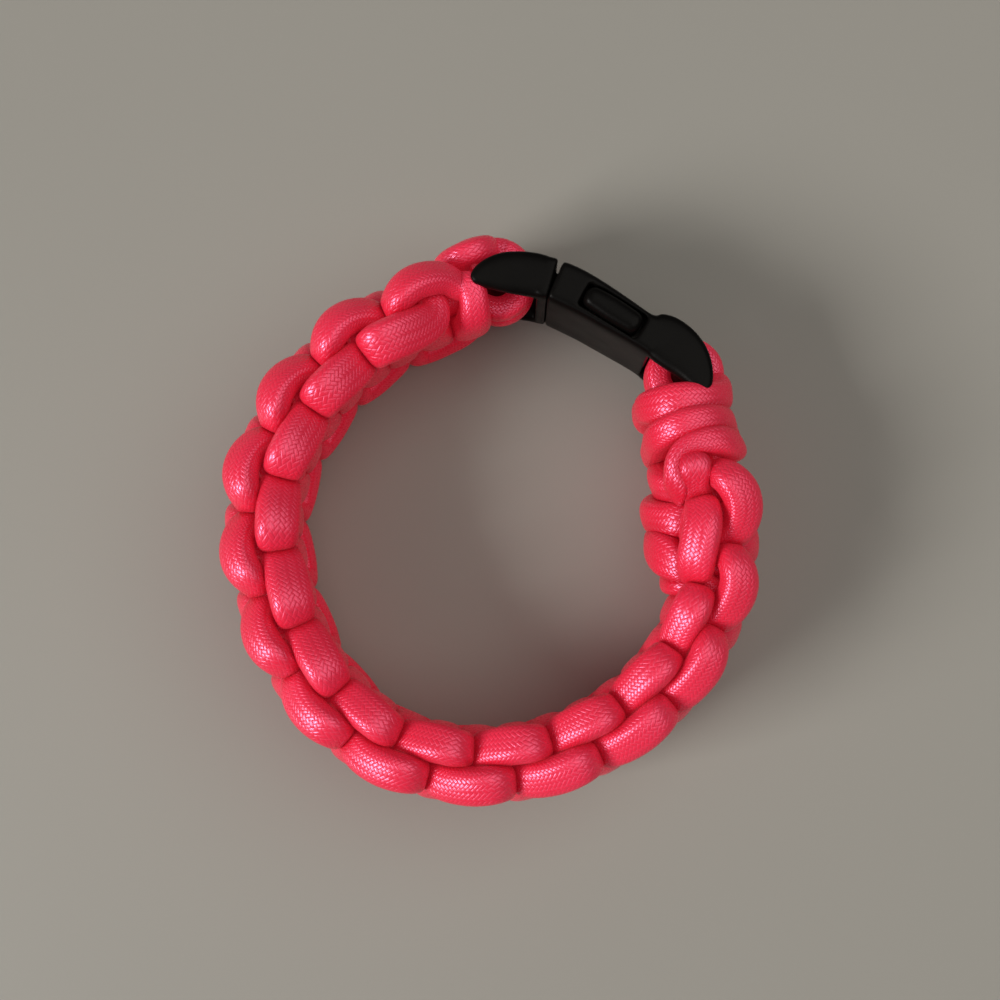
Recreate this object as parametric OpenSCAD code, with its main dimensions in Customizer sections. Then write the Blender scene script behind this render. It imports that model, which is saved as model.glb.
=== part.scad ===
// Knotted cord bracelet with a curved side-release buckle, lying on its lower edge.
// One cord is hitched to the socket's bar, runs as two cores to the stem's bar, turns
// round it, and comes back as two working strands tied round the cores in square
// knots. Sizes are in millimetres. The loop's middle is the origin, on the surface.

/* [Cord] */
// Thickness that the cord keeps where the knots squeeze it
squeezed_d = 3.1; // [2.9:0.1:3.6]
// Gap left between cords that touch
cord_gap = 0.25; // [0.2:0.05:0.5]

/* [Band] */
// Radius of the loop, measured at the middle of the band
loop_r = 26; // [25:0.5:36]
// Distance along the band from one half knot to the next
knot_pitch = 4.5; // [4.4:0.05:5]
// How far the loosened crossing stands off the inner face
slack = 2.5; // [0:0.5:4]

/* [Buckle] */
// Distance between the middles of the two bars
bar_span = 24; // [23.5:0.1:26]
// Direction from the loop's middle to the buckle
buckle_at = 63.5; // [0:1:360]
// Radius that the buckle is curved to
buckle_r = 46; // [40:1:60]
// Width of the buckle, across the band
buckle_w = 15.5; // [15:0.5:19]
// Thickness of the slotted ends
end_t = 4.6; // [4:0.1:5]
// Thickness of the closed middle
body_t = 4.2; // [4:0.1:5]
// Radius of each bar that the cord turns round
bar_r = 1.4; // [1.2:0.05:1.6]
// Width of the side rails beside each slot
rail_w = 2.2; // [1.8:0.1:2.6]
// Thickness of the socket's walls
wall = 0.9; // [0.8:0.05:1]
// Gap between the two halves
part_gap = 0.3; // [0.2:0.05:0.5]
// Gap round the prongs inside the socket
prong_gap = 0.2; // [0.15:0.05:0.3]
// Length of the stem's closed shoulder
shoulder_l = 1.3; // [1:0.1:1.8]

/* [Hidden] */

cord_colour = "hotpink";
plastic_colour = "dimgray";
sides = 8;

// Half a knot: where the strand on the outer face runs, from the deep place at one
// edge, across the face, and round the other edge. Across and through are in squeezed
// thicknesses from the middle of the band, along is in pitches from the crossing, flat
// is the direction that the strand's flat faces (0 the edge it comes from, 90 the face,
// 180 the edge it goes to), and wide is its width in squeezed thicknesses.
// columns:   across through along  flat   wide
half_knot = [[ 1.55,  0.05,  0.25,    5,  1.10],
             [ 1.15,  0.80,  0.16,   60,  1.25],
             [ 0.35,  1.00,  0.04,   90,  1.40],
             [-0.50,  1.00, -0.05,   85,  1.40],
             [-1.35,  0.80, -0.10,  105,  1.30],
             [-2.15,  0.50, -0.19,  150,  1.05],
             [-2.35, -0.15,  0.06,  170,  1.05],
             [-2.80, -0.65,  0.34,  185,  1.40],
             [-3.00, -0.90,  0.80,  180,  1.55],
             [-2.85, -0.75,  1.29,  195,  1.40],
             [-1.95, -0.50,  1.54,  220,  1.15]];
edge_across = 3;
crossing_rows = 6;

// The same columns for the strands' starts at the stem's bar, with along in squeezed
// thicknesses from the bar
outer_start = [[ 0.55,  1.20,  0.50,   90,  1.00],
               [ 0.30,  1.35,  1.00,   90,  1.00]];
inner_start = [[ 1.20,  1.10,  0.00,   90,  1.00],
               [ 2.00,  1.25,  0.10,   80,  1.00],
               [ 2.70,  1.25,  0.50,   50,  1.00],
               [ 2.95,  1.25,  1.15,   20,  1.05],
               [ 2.80,  0.95,  1.80,   15,  1.15],
               [ 1.95,  0.60,  2.20,   40,  1.05]];

// The cores leave the stem's bar and meet the socket's bar on the inner side, and the
// hitch comes back from the socket's bar to cross the neck's inner face
core_start = [[ 0.50, -0.25,  1.10,  -90,  0.95],
              [ 0.50,  0.00,  1.70,  -90,  0.95]];
core_end =   [[ 0.50,  0.00,  2.00,  -90,  0.95],
              [ 0.50, -0.40,  1.10,  -90,  0.95]];
hitch =      [[ 0.90,  0.60,  0.90,   80,  1.00],
              [ 1.45,  0.35,  1.15,   50,  1.00],
              [ 1.85, -0.05,  1.20,    0,  1.00],
              [ 1.90, -0.60,  1.20,  -20,  1.00],
              [ 1.50, -1.25,  1.15,  -60,  1.00],
              [ 0.75, -1.50,  1.12,  -90,  1.00]];
across = 0;
through = 1;
along = 2;
flat = 3;
wide = 4;

// Knots: the first and last crossing's distance from the bars, in squeezed
// thicknesses, how far the neck swells the first and last ones, and the loosened one
first_knot = 1.45;
last_knot = 2.85;
neck_swell = 0.8;
swell_l = 2.6;
loose_knots_from_end = 2;
loose_half = 1.7;

// Radius of the loop at even steps round it from neck to neck, in shares of loop_r,
// and how far the chord between the bars lies from the loop's middle
loop_shares = [0.945, 0.97, 0.99, 0.995, 0.995, 1.02, 1.035, 1.025, 0.985, 0.98,
    1.02, 1.02, 0.955];
chord_share = 0.985;
neck_sweep = 13;

tube_t = squeezed_d - cord_gap;
function tube_w(wide) = wide * squeezed_d - cord_gap;
foot = tube_t / 2 * cos(180 / sides);
band_z = edge_across * squeezed_d + foot;
wrap_r = bar_r + cord_gap / 2 + tube_t / 2;

function unit(v) = v / norm(v);
function polar(r, a) = [r * cos(a), r * sin(a)];

// Places of the bars
chord_at = loop_r * chord_share;
bar_angle = atan(bar_span / 2 / chord_at);
chord_dir = polar(1, buckle_at - 90);
chord_mid = polar(chord_at, buckle_at);
stem_bar = chord_mid - chord_dir * bar_span / 2;
socket_bar = chord_mid + chord_dir * bar_span / 2;

// Route of the band's middle, from the stem's bar round the wrist to the socket's bar
sweep_from = buckle_at + bar_angle + neck_sweep;
sweep_to = buckle_at + 360 - bar_angle - neck_sweep;
loop_steps = len(loop_shares) - 1;
route_knots = concat([stem_bar], [for (i = [0 : loop_steps])
    polar(loop_r * loop_shares[i], sweep_from + (sweep_to - sweep_from) * i / loop_steps)],
    [socket_bar]);
function catmull(a, b, c, d, t) = 0.5 * (2 * b + (c - a) * t
    + (2 * a - 5 * b + 4 * c - d) * t * t + (3 * b - a - 3 * c + d) * t * t * t);
function knot_at(i) = route_knots[min(max(i, 0), len(route_knots) - 1)];
spans = len(route_knots) - 1;
span_div = 10;
route = [for (i = [0 : spans * span_div]) let (s = min(floor(i / span_div), spans - 1))
    catmull(knot_at(s - 1), knot_at(s), knot_at(s + 1), knot_at(s + 2), i / span_div - s)];
last = len(route) - 1;
reach = [for (i = 0, s = 0; i <= last;
    i = i + 1, s = s + (i <= last ? norm(route[i] - route[i - 1]) : 0)) s];
route_l = reach[last];
route_x = [for (i = [0 : last]) [reach[i], route[i].x]];
route_y = [for (i = [0 : last]) [reach[i], route[i].y]];
probe = 1;
function on_route(w) = [lookup(w, route_x), lookup(w, route_y)];
function heading(w) = let (m = min(max(w, probe), route_l - probe))
    unit(on_route(m + probe) - on_route(m - probe));
function outward(w) = let (h = heading(w)) [h.y, -h.x];

// Point of the band at height u over its middle, v outwards and w along it
function place(u, v, w) = let (q = min(max(w, 0), route_l),
    p = on_route(q) + heading(w) * (w - q) + outward(w) * v) [p.x, p.y, band_z + u];
function facing(w, v, u) = let (n = outward(w)) unit([n.x * v, n.y * v, u]);

// Half knots
knot_from = first_knot * squeezed_d;
knot_to = route_l - last_knot * squeezed_d;
half_knots = 2 * round((knot_to - knot_from) / knot_pitch / 2);
pitch = (knot_to - knot_from) / half_knots;
function near(w) = max(0, 1 - min(w, route_l - w) / (swell_l * squeezed_d));
function loose(k, row) = k == half_knots - loose_knots_from_end
    ? slack * max(0, 1 - pow(row[across] / loose_half, 2)) : 0;

// A ring is its middle and the direction that its flat faces. Face is +1 for the
// strand on the outer face, and side is +1 where it starts at the upper edge.
function knot_ring(k, row, face, side) = let (
    w = knot_from + pitch * (k + row[along]),
    v = row[through] * squeezed_d * (1 + neck_swell * near(w)) + (face < 0 ? loose(k, row) : 0))
    [place(side * row[across] * squeezed_d, face * v, w),
        facing(w, face * sin(row[flat]), side * cos(row[flat])), row[wide]];
function side_at(k, face) = face * (k % 2 == 0 ? 1 : -1);
function knot_rings(face, from, to) = [for (k = [from : to]) for (row = half_knot)
    knot_ring(k, row, face, side_at(k, face))];
function last_rings(face) = [for (i = [0 : crossing_rows + 1])
    knot_ring(half_knots, half_knot[i], face, side_at(half_knots, face))];
function neck_rings(rows, side, at, dir) = [for (row = rows) let (w = at + dir * row[along] * squeezed_d)
    [place(side * row[across] * squeezed_d, row[through] * squeezed_d, w),
        facing(w, sin(row[flat]), side * cos(row[flat])), row[wide]]];

// Turn round a bar, from the inner side through the slot to the outer side. Each cord
// lies cord_at of its squeezed thickness above or below the band's middle.
wrap_lead = 42;
wrap_steps = 8;
cord_at = 0.5;
function wrap_ring(side, at, dir, a) = [
    place(side * cord_at * squeezed_d, -wrap_r * cos(a), at - dir * wrap_r * sin(a)),
    let (h = heading(at), n = outward(at), f = n * -cos(a) - h * dir * sin(a)) [f.x, f.y, 0], 1];
function wrap_rings(side, at, dir, to) = [for (i = [0 : wrap_steps])
    wrap_ring(side, at, dir, -wrap_lead + (to + wrap_lead) * i / wrap_steps)];
function reversed(list) = [for (i = [len(list) - 1 : -1 : 0]) list[i]];

// Skin through rings, whose flats keep to each ring's direction
function ring_points(rings, i) = let (
    ahead = unit(rings[min(i + 1, len(rings) - 1)][0] - rings[max(i - 1, 0)][0]),
    n = unit(rings[i][1] - ahead * (ahead * rings[i][1])), m = cross(ahead, n))
    [for (j = [0 : sides - 1]) let (a = 360 * (j + 0.5) / sides)
        rings[i][0] + (n * cos(a) * tube_t + m * sin(a) * tube_w(rings[i][2])) / 2];
module tube(rings) {
    count = len(rings);
    points = [for (i = [0 : count - 1]) each ring_points(rings, i)];
    skin = [for (i = [0 : count - 2]) for (j = [0 : sides - 1]) let (
        a = i * sides + j, b = i * sides + (j + 1) % sides)
        each [[a, a + sides, b], [b, a + sides, b + sides]]];
    first = [for (j = [0 : sides - 1]) j];
    final = [for (j = [sides - 1 : -1 : 0]) (count - 1) * sides + j];
    polyhedron(points, concat([first, final], skin), convexity = 20);
}

// The outer strand carries on from the upper cord round the stem's bar, and crosses
// on the outer face. The inner strand carries on from the lower one. The cores' turn
// ends at loop_end round the bar and the strands start at strand_from.
loop_end = 150;
strand_from = 168;
first_row = 3;
outer_rings = concat(
    [for (a = [strand_from, 180]) wrap_ring(1, 0, 1, a)],
    neck_rings(outer_start, 1, 0, 1),
    [for (i = [first_row : len(half_knot) - 1]) knot_ring(0, half_knot[i], 1, 1)],
    knot_rings(1, 1, half_knots - 1), last_rings(1));
inner_rings = concat(
    [for (a = [strand_from, 180]) wrap_ring(-1, 0, 1, a)],
    neck_rings(inner_start, -1, 0, 1),
    knot_rings(-1, 0, half_knots - 1), last_rings(-1));

// Core and hitch: both cores, and the bight that joins them at the socket's bar
core_steps = 24;
core_lead = 8;
core_wide = 0.95;
function core_half(side) = concat(
    reversed(wrap_rings(side, 0, 1, loop_end)),
    neck_rings(core_start, side, 0, 1),
    [for (i = [1 : core_steps - 1]) let (w = core_lead + (route_l - 2 * core_lead) * i / core_steps)
        [place(side * cord_at * squeezed_d, 0, w), facing(w, -1, 0), core_wide]],
    neck_rings(core_end, side, route_l, -1),
    wrap_rings(side, route_l, -1, 180 + wrap_lead),
    neck_rings(hitch, side, route_l, -1));
hitch_w = route_l - hitch[len(hitch) - 1][along] * squeezed_d;
hitch_under = -1.53;
hitch_middle = [[place(0, hitch_under * squeezed_d, hitch_w), facing(hitch_w, -1, 0), 1]];
core_rings = concat(core_half(1), hitch_middle, reversed(core_half(-1)));

module core_cord() { color(cord_colour) tube(core_rings); }
module outer_strand() { color(cord_colour) tube(outer_rings); }
module inner_strand() { color(cord_colour) tube(inner_rings); }

// The buckle is drawn from above, with its bars on the x axis and y outwards, and
// stands across the band
arc_sides = 200;
tip_sides = 48;
arc_at = -sqrt(buckle_r * buckle_r - bar_span * bar_span / 4);
far = 2 * buckle_r;
tip_r = end_t / 2;
slot_end = bar_span / 2 - wrap_r - tube_t / 2 - cord_gap;
parting = -slot_end + shoulder_l;
inner_w = buckle_w - 2 * rail_w;
module curved(t, from, to) {
    intersection() {
        translate([0, arc_at])
            difference() {
                circle(r = buckle_r + t / 2, $fn = arc_sides);
                circle(r = buckle_r - t / 2, $fn = arc_sides);
            }
        translate([from, -body_t])
            square([to - from, far]);
    }
}
module across_band(w, mid = 0) { translate([0, 0, mid - w / 2]) linear_extrude(w) children(); }
module on_chord() {
    translate([chord_mid.x, chord_mid.y, band_z])
        rotate([0, 0, buckle_at - 90])
            children();
}

// Slotted end with its bar, at the right. The left one is its mirror image.
module slotted_end(body_to) {
    for (s = [-1, 1])
        across_band(rail_w, s * (buckle_w - rail_w) / 2) {
            curved(end_t, body_to, bar_span / 2);
            translate([bar_span / 2, 0])
                circle(r = tip_r, $fn = tip_sides);
        }
    across_band(inner_w + rail_w)
        translate([bar_span / 2, 0])
            circle(r = bar_r, $fn = tip_sides);
}

prong_w = 2.4;
prong_t = body_t - 2 * wall - 2 * prong_gap;
window_from = -2.2;
window_to = 5.4;
button_out = 0.7;
cavity_to = window_to + prong_gap;
prong_z = (buckle_w - prong_w) / 2 - wall - prong_gap;
module buckle_stem() {
    color(plastic_colour)
        on_chord() {
            mirror([1, 0, 0])
                slotted_end(-parting);
            across_band(buckle_w)
                curved(body_t, -slot_end, parting);
            for (s = [-1, 1]) {
                across_band(prong_w, s * prong_z)
                    curved(prong_t, parting - shoulder_l / 2, window_to - prong_gap);
                across_band(prong_w, s * ((buckle_w - prong_w) / 2 + button_out))
                    curved(prong_t, window_from + prong_gap, window_to - prong_gap);
            }
            across_band(2 * prong_w)
                curved(prong_t, parting - shoulder_l / 2, window_from);
        }
}

module buckle_socket() {
    color(plastic_colour)
        on_chord()
            difference() {
                union() {
                    slotted_end(slot_end - rail_w);
                    across_band(buckle_w)
                        curved(body_t, parting + part_gap, slot_end);
                }
                across_band(buckle_w - 2 * wall)
                    curved(body_t - 2 * wall, parting - part_gap, cavity_to);
                across_band(2 * buckle_w)
                    curved(body_t - 2 * wall, window_from, window_to);
            }
}

buckle_stem();
buckle_socket();
core_cord();
outer_strand();
inner_strand();
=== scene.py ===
"""Knotted cord bracelet with a curved side-release buckle, fastened and lying on its lower edge.

The band is tied in square knots from one cord: two cores run from bar to bar of the
buckle, and two working strands cross the outer and the inner face in turn and hook round
both edges. Lengths are in millimetres until a mesh is made, and the loop's middle is the
origin, on the surface that the band rests on.
"""

from __future__ import annotations

import logging
import math
from dataclasses import dataclass, field
from enum import Enum
from typing import Any

import bpy
import numpy as np
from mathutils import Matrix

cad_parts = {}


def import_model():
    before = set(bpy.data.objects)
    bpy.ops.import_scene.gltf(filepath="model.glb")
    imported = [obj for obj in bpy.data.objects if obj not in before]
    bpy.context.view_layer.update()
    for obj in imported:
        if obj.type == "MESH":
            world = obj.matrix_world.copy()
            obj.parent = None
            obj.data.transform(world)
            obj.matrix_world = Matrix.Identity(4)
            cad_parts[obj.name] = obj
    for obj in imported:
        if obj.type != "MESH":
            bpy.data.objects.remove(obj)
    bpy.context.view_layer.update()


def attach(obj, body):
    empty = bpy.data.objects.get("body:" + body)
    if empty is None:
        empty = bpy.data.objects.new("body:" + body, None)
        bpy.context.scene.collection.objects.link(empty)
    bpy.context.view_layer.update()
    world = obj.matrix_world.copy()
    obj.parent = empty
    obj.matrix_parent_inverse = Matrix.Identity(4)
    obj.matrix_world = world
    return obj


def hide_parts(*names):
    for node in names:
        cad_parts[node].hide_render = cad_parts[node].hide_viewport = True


LOG = logging.getLogger("bracelet")
MM = 0.001
Array = np.ndarray
Colour = tuple[float, float, float, float]
Point = tuple[float, float, float]


class Face(Enum):
    """Which face of the band a working strand crosses."""

    OUTER = 1
    INNER = -1


class Slot(Enum):
    """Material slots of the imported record."""

    CORD = "cord"
    BUCKLE = "buckle"


# Small array helpers


def unit(v: Array) -> Array:
    """Each row of v at length 1."""
    return v / np.maximum(np.linalg.norm(v, axis=-1, keepdims=True), 1e-9)


def hermite(knots: Array, values: Array, at: Array) -> Array:
    """Smooth curve through values, with each knot's slope from its two neighbours.

    The slope at a knot is the mean of the two spans' slopes, each weighted by the other
    span's length, and a cubic joins the knots.

    Args:
        knots: rising positions of the known values, n long.
        values: n rows of known values.
        at: positions to read the curve at.

    Returns:
        One row of values for each position.
    """
    step = np.diff(knots)[:, None]
    rise = np.diff(values, axis=0) / step
    inside = (rise[:-1] * step[1:] + rise[1:] * step[:-1]) / (step[1:] + step[:-1])
    slope = np.vstack([rise[:1], inside, rise[-1:]])
    i = np.clip(np.searchsorted(knots, at, side="right") - 1, 0, len(knots) - 2)
    h = step[i]
    t = (at - knots[i])[:, None] / h
    a, b = values[i], values[i + 1]
    return (
        a * (1 + 2 * t) * (1 - t) ** 2
        + slope[i] * h * t * (1 - t) ** 2
        + b * t**2 * (3 - 2 * t)
        + slope[i + 1] * h * t**2 * (t - 1)
    )


def blurred(a: Array, axis: int, passes: int, closed: bool) -> Array:
    """Evens out an array along one axis with a 1-2-1 average, repeated.

    Args:
        a: the values.
        axis: the axis to even out along.
        passes: how often the average is taken.
        closed: whether the axis runs round and meets itself.

    Returns:
        The evened values.
    """
    a = np.moveaxis(a, axis, 0)
    for _ in range(passes):
        back, ahead = np.roll(a, 1, 0), np.roll(a, -1, 0)
        if not closed:
            back[0], ahead[-1] = a[0], a[-1]
        a = (back + 2 * a + ahead) / 4
    return np.moveaxis(a, 0, axis)


def column_interp(at: Array, known: Array, rows: Array) -> Array:
    """Rows of values read between the known positions, each column on its own straight spans."""
    return np.column_stack([np.interp(at, known, column) for column in rows.T])


def distances(points: Array) -> Array:
    """Distance of each point from the first, along the straight spans between them."""
    return np.concatenate([[0], np.cumsum(np.linalg.norm(np.diff(points, axis=0), axis=1))])


def superellipse(around: int, power: float) -> tuple[Array, Array]:
    """Cosine and sine round a circle, each with its size raised to a power and its sign kept.

    Args:
        around: number of points round.
        power: 1 gives a circle, and less gives flatter sides.

    Returns:
        Both, one value for each point.
    """
    angle = np.linspace(0, 2 * math.pi, around, endpoint=False)
    c, s = np.cos(angle), np.sin(angle)
    return np.sign(c) * np.abs(c) ** power, np.sign(s) * np.abs(s) ** power


def grid_mesh(
    name: str, grid: Array, uv: Array | None = None, tuck: Array | None = None
) -> bpy.types.Object:
    """Object from a grid of points that closes round its second axis and is capped at both ends.

    Args:
        name: the object's name.
        grid: rows by points round by 3, in millimetres, the points counter-clockwise where
            the rows come towards the viewer.
        uv: rows by points round plus one by 2, kept as the map cord_run.
        tuck: rows by points round, kept as the attribute tuck.

    Returns:
        The linked object, with its place in its mesh.
    """
    rows, around = grid.shape[:2]
    i, j = np.meshgrid(np.arange(rows - 1), np.arange(around), indexing="ij")
    k = (j + 1) % around
    here, ahead = i * around, (i + 1) * around
    quads = np.stack([here + j, here + k, ahead + k, ahead + j], -1).reshape(-1, 4)
    first = list(range(around - 1, -1, -1))
    last = [(rows - 1) * around + n for n in range(around)]
    mesh = bpy.data.meshes.new(name)
    mesh.from_pydata((grid.reshape(-1, 3) * MM).tolist(), [], quads.tolist() + [first, last])
    if uv is not None:
        corners = np.stack([uv[i, j], uv[i, j + 1], uv[i + 1, j + 1], uv[i + 1, j]], 2).reshape(-1, 2)
        caps = np.concatenate([uv[0, first], uv[-1, :-1]])
        layer = mesh.uv_layers.new(name="cord_run")
        layer.data.foreach_set("uv", np.concatenate([corners, caps]).astype(np.float32).ravel())
    # Depth in the creases between cords, which the material paints as shade.
    if tuck is not None:
        depth = mesh.attributes.new("tuck", "FLOAT", "POINT")
        depth.data.foreach_set("value", tuck.astype(np.float32).ravel())
    mesh.shade_smooth()
    piece = bpy.data.objects.new(name, mesh)
    bpy.context.scene.collection.objects.link(piece)
    return piece


# Materials


class Shade:
    """An output socket that can be used in arithmetic; each operation adds a Math node."""

    def __init__(self, bench: "Bench", socket: bpy.types.NodeSocket) -> None:
        """Keeps the socket and the bench that adds nodes to its material."""
        self.bench = bench
        self.socket = socket

    def math(self, operation: str, *others: "Shade | float") -> "Shade":
        """Result of a Math node on this value and the others."""
        return self.bench.node("Math", {"operation": operation}, dict(enumerate((self, *others))))

    def __add__(self, other: "Shade | float") -> "Shade":
        """Sum."""
        return self.math("ADD", other)

    __radd__ = __add__

    def __mul__(self, other: "Shade | float") -> "Shade":
        """Product."""
        return self.math("MULTIPLY", other)

    __rmul__ = __mul__

    def __sub__(self, other: "Shade | float") -> "Shade":
        """Difference."""
        return self.math("SUBTRACT", other)

    def __rsub__(self, other: float) -> "Shade":
        """A number less this value."""
        return self.bench.node("Math", {"operation": "SUBTRACT"}, {0: other, 1: self})

    def __truediv__(self, other: "Shade | float") -> "Shade":
        """Quotient."""
        return self.math("DIVIDE", other)

    def __pow__(self, other: float) -> "Shade":
        """Power."""
        return self.math("POWER", other)

    def __mod__(self, other: float) -> "Shade":
        """Remainder that never goes below zero."""
        return self.math("FLOORED_MODULO", other)

    def __lt__(self, other: "Shade | float") -> "Shade":
        """1 where this value is smaller, otherwise 0."""
        return self.math("LESS_THAN", other)

    def floor(self) -> "Shade":
        """Whole number at or below this value."""
        return self.math("FLOOR")

    def fract(self) -> "Shade":
        """What is left above the whole number."""
        return self.math("FRACT")

    def abs(self) -> "Shade":
        """Size without its sign."""
        return self.math("ABSOLUTE")

    def sin(self) -> "Shade":
        """Sine, with the value in radians."""
        return self.math("SINE")

    def clip(self, low: float, high: float) -> "Shade":
        """This value kept between two limits."""
        return self.math("MAXIMUM", low).math("MINIMUM", high)

    def other(self, output: int) -> "Shade":
        """Another output of the same node."""
        return Shade(self.bench, self.socket.node.outputs[output])

    def pick(self, zero: "Shade | float", one: "Shade | float") -> "Shade":
        """Value that goes from zero to one as this mask does."""
        return self.bench.node("Mix", {"data_type": "FLOAT"}, {0: self, 2: zero, 3: one})


class Bench:
    """Builds one material's nodes."""

    def __init__(self, name: str) -> None:
        """Starts a material with an empty node tree.

        Args:
            name: the material's name.
        """
        self.material = bpy.data.materials.new(name)
        self.material.use_nodes = True
        self.tree = self.material.node_tree
        self.tree.nodes.clear()

    def node(
        self,
        kind: str,
        settings: dict[str, Any] | None = None,
        inputs: dict[int | str, Any] | None = None,
        output: int | str = 0,
    ) -> Shade:
        """Adds one shader node.

        Args:
            kind: the node's type, without its ShaderNode prefix.
            settings: attributes of the node, set first.
            inputs: a value, colour or Shade for each named or numbered input.
            output: the output socket to hand back.

        Returns:
            The chosen output.
        """
        made = self.tree.nodes.new("ShaderNode" + kind)
        for key, value in (settings or {}).items():
            setattr(made, key, value)
        for key, value in (inputs or {}).items():
            if isinstance(value, Shade):
                self.tree.links.new(value.socket, made.inputs[key])
            else:
                made.inputs[key].default_value = value
        return Shade(self, made.outputs[output])

    def blend(self, factor: Shade | float, low: Any, high: Any) -> Shade:
        """Colour that goes from low to high as factor goes from 0 to 1."""
        return self.node("Mix", {"data_type": "RGBA"}, {0: factor, 6: low, 7: high}, 2)

    def noise(self, where: Shade, scale: float, detail: float = 2.0) -> Shade:
        """Noise from 0 to 1 at a scale per unit of where."""
        return self.node("TexNoise", {}, {"Vector": where, "Scale": scale, "Detail": detail})

    def finish(self, **inputs: Any) -> bpy.types.Material:
        """Puts values on a Principled shader and joins it to the material's output.

        Args:
            inputs: the shader's inputs, with the spaces in their names written as underscores.

        Returns:
            The finished material.
        """
        named = {key.replace("_", " "): value for key, value in inputs.items()}
        surface = self.node("BsdfPrincipled", {}, named)
        out = self.tree.nodes.new("ShaderNodeOutputMaterial")
        self.tree.links.new(surface.socket, out.inputs["Surface"])
        return self.material


@dataclass(frozen=True)
class BraidFinish:
    """Braided nylon sheath: two sets of yarns that wind opposite ways, each over two and under two.

    yarns is the number in each set, and filaments the number of ridges on each yarn. stitch,
    a yarn's rise from one crossing to the next, and relief are in millimetres. Heights are
    shares of the relief, and scales are per metre. most_worn is how far the worn colour
    shows at most, and rough_range the least and greatest roughness.
    """

    yarns: int = 22
    stitch: float = 0.48
    relief: float = 0.050
    arch: float = 3.4
    dip: float = 4.0
    shoulder: float = 0.6
    dip_height: float = 0.25
    filaments: int = 4
    filament_height: float = 0.10
    fuzz_height: float = 0.06
    fuzz_scale: float = 2500.0
    fuzz_detail: float = 4.0
    patch_scale: float = 90.0
    patch_from: float = 0.45
    patch_gain: float = 1.6
    most_worn: float = 0.5
    bright: Colour = (0.61, 0.015, 0.041, 1)
    bright_gain: float = 1.15
    # Painted shade: deep is the darker colour painted into the hollows between yarns, while bright is the
    # colour on their crests.
    deep: Colour = (0.55, 0.008, 0.030, 1)
    worn: Colour = (0.70, 0.026, 0.070, 1)
    # Painted shade: crease is the darker colour painted where cords press together, by their crease depth.
    crease: Colour = (0.48, 0.0035, 0.016, 1)
    crease_shade_share: float = 0.9
    # Painted glow: the cord emits light though it is no lamp, a stand-in for fluorescence that lifts its
    # shade; it glows less in the creases, as painted shade.
    painted_glow: Colour = (0.13, 0.0024, 0.0065, 1)
    painted_glow_in_creases: Colour = (0.06, 0.0006, 0.0024, 1)
    gloss_tint: Colour = (1.0, 0.42, 0.70, 1)
    sheen_tint: Colour = (1.0, 0.45, 0.5, 1)
    sheen: float = 0.05
    sheen_rough: float = 0.4
    ior: float = 1.65
    roughness: float = 0.27
    valley_rough: float = 0.35
    fuzz_rough: float = 0.15
    rough_range: tuple[float, float] = (0.2, 0.9)

    def material(self) -> bpy.types.Material:
        """The sheath's material.

        Yarn numbers are the whole parts of two slanting coordinates, p and q. The first
        set lies on top where their sum, counted in fours, is 0 or 1, and the second where it
        is 2 or 3. With x going from 0 to 1 across a yarn, its height is an arch,
        1 - |2x - 1| ^ arch. With t going from 0 to 1 along the stretch where it lies on top,
        it dips at both ends, as 1 - |2t - 1| ^ dip.

        Returns:
            The material, which reads the map cord_run: turns round the cord, and
            millimetres along it.
        """
        b = Bench("braided_coral_nylon")
        around = b.node("SeparateXYZ", {}, {0: b.node("UVMap", {"uv_map": "cord_run"})})
        turn = around * float(self.yarns)
        slant = around.other(1) / self.stitch
        p, q = turn + slant, turn - slant
        place = (p.floor() + q.floor()) % 4.0
        first_on_top = place < 1.5
        x = first_on_top.pick(q.fract(), p.fract())
        t = first_on_top.pick((place - 2 + p.fract()) / 2, (place + q.fract()) / 2)
        across = (1 - (2 * x - 1).abs() ** self.arch).clip(0, 1) ** self.shoulder
        ends = (1 - (2 * t - 1).abs() ** self.dip).clip(0, 1)
        ridges = ((x * (2 * math.pi * self.filaments)).sin() * 0.5 + 0.5) * self.filament_height
        height = across * (self.dip_height + (1 - self.dip_height) * ends) + ridges * ends
        where = b.node("TexCoord", {}, {}, "Object")
        patch = b.noise(where, self.patch_scale)
        fuzz = b.noise(where, self.fuzz_scale, self.fuzz_detail) - 0.5
        # Painted shade: the low places between yarns take the darker deep colour.
        colour = b.blend((height * self.bright_gain).clip(0, 1), self.deep, self.bright)
        worn = ((patch - self.patch_from) * self.patch_gain).clip(0, self.most_worn)
        colour = b.blend(worn, colour, self.worn)
        tuck = b.node("Attribute", {"attribute_name": "tuck"}, {}, 2).clip(0, 1)
        rough = self.roughness + (1 - height.clip(0, 1)) * self.valley_rough + fuzz * self.fuzz_rough
        relief = height + fuzz * self.fuzz_height
        return b.finish(
            # Painted shade: the creases between cords take the darker crease colour.
            Base_Color=b.blend(tuck * self.crease_shade_share, colour, self.crease),
            Roughness=rough.clip(*self.rough_range),
            Normal=b.node("Bump", {}, {"Strength": 1.0, "Distance": self.relief * MM, "Height": relief}),
            Sheen_Weight=self.sheen,
            Sheen_Roughness=self.sheen_rough,
            Sheen_Tint=self.sheen_tint,
            Specular_IOR_Level=1.0,
            IOR=self.ior,
            Specular_Tint=self.gloss_tint,
            # Painted glow, weaker in the creases.
            Emission_Color=b.blend(tuck, self.painted_glow, self.painted_glow_in_creases),
            Emission_Strength=1.0,
        )


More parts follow.
